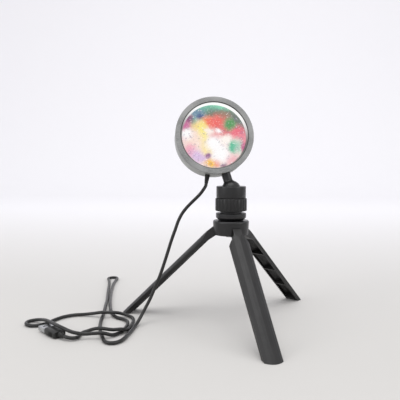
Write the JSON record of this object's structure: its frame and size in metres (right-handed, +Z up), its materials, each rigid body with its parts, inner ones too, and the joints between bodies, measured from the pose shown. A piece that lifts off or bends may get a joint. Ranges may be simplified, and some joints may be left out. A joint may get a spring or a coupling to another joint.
{
  "type": "light projector",
  "caption": "Round colour-light projector lamp leaning on a ball head over a folding three-legged table stand, with a lead and USB plug.",
  "frame": {"origin": "middle of the footprint of the open stand and lamp, on the surface the legs stand on", "axes": "+Z up, the lens faces roughly -Y, the lead lies towards -X"},
  "size_m": [0.2844, 0.2797, 0.2251],
  "materials": {
    "black_plastic": "fine grained moulded black plastic",
    "satin_black_plastic": "satin moulded black plastic",
    "bezel_grey": "matt grey plastic",
    "barrel_grey": "satin grey plastic",
    "white_plastic": "white reflecting plastic",
    "lens_plastic": "rippled clear lens lit in many colours from behind",
    "colour_glass": "coated colour disc",
    "clear_plastic": "clear moulded optic",
    "black_rubber": "soft black lead sheath",
    "steel": "plated steel",
    "brass": "turned brass",
    "aluminium": "bare cast aluminium",
    "board_green": "green circuit board",
    "led_phosphor": "yellow phosphor"
  },
  "bodies": {
    "tripod": {"tripod_hub": "satin_black_plastic", "hub_cap": "black_plastic", "hub_screw": "steel", "pin_front": "steel", "pin_right": "steel", "pin_left": "steel", "lead_hanging": "black_rubber", "lead_floor_1": "black_rubber", "lead_floor_2": "black_rubber", "lead_floor_3": "black_rubber", "lead_floor_4": "black_rubber", "plug_relief": "black_rubber", "plug_body": "black_plastic", "plug_shell": "steel", "plug_tongue": "white_plastic"},
    "leg_front": {"leg_front": "black_plastic"},
    "leg_right": {"leg_right": "black_plastic"},
    "leg_left": {"leg_left": "black_plastic"},
    "ball_base": {"base_collar": "satin_black_plastic", "socket_housing": "satin_black_plastic", "clamp_cup": "white_plastic"},
    "lock_ring": {"lock_ring": "black_plastic"},
    "ball_stud": {"ball_stud": "satin_black_plastic"},
    "lamp": {"barrel": "barrel_grey", "stand_insert": "brass", "cable_gland": "black_rubber", "bezel_ring": "bezel_grey", "lens_retainer": "white_plastic", "lens": "lens_plastic", "lens_gasket": "black_rubber", "colour_disc": "colour_glass", "lens_holder": "white_plastic", "heat_sink": "aluminium", "led_board": "white_plastic", "led_chip": "led_phosphor", "led_screw_1": "steel", "led_screw_2": "steel", "condenser_lens": "clear_plastic", "rear_cover": "barrel_grey", "rear_screw_1": "steel", "rear_screw_2": "steel", "rear_screw_3": "steel", "driver_board": "board_green", "board_screw_1": "steel", "board_screw_2": "steel", "switch_body": "black_plastic"},
    "power_button": {"power_button": "bezel_grey"}
  },
  "joints": [
    {"name": "leg_front_fold", "type": "hinge", "parent": "tripod", "child": "leg_front", "pos_m": [0.02039, -0.00042, 0.094], "axis": [0.95, 0.3123, 0], "range_deg": [0, 45.6]},
    {"name": "leg_right_fold", "type": "hinge", "parent": "tripod", "child": "leg_right", "pos_m": [0.02464, 0.01993, 0.094], "axis": [-0.7455, 0.6665, 0], "range_deg": [0, 45.6]},
    {"name": "leg_left_fold", "type": "hinge", "parent": "tripod", "child": "leg_left", "pos_m": [0.00489, 0.01343, 0.094], "axis": [-0.2045, -0.9789, 0], "range_deg": [0, 45.6]},
    {"name": "ball_head_pan", "type": "hinge", "parent": "tripod", "child": "ball_base", "pos_m": [0.01664, 0.01098, 0.1023], "axis": [0, 0, 1], "range_deg": [-60, 60], "deforming": ["lead_hanging"]},
    {"name": "lock_ring_turn", "type": "hinge", "parent": "ball_base", "child": "lock_ring", "pos_m": [0.01664, 0.01098, 0.1178], "axis": [0, 0, 1], "range_deg": [0, 90]},
    {"name": "ball_tilt", "type": "hinge", "parent": "ball_base", "child": "ball_stud", "pos_m": [0.01664, 0.01098, 0.1318], "axis": [-0.461, -0.8874, 0], "range_deg": [-54, 13.5], "deforming": ["lead_hanging"]},
    {"name": "lamp_turn", "type": "hinge", "parent": "ball_stud", "child": "lamp", "pos_m": [0.01106, 0.01388, 0.14867], "axis": [-0.3101, 0.1611, 0.937], "range_deg": [-45, 45], "deforming": ["lead_hanging"]},
    {"name": "power_button_press", "type": "slide", "parent": "lamp", "child": "power_button", "axis": [0.166, -0.9612, 0.2202], "range_m": [0, 0.001], "stiffness_N_per_m": 500}
  ]
}
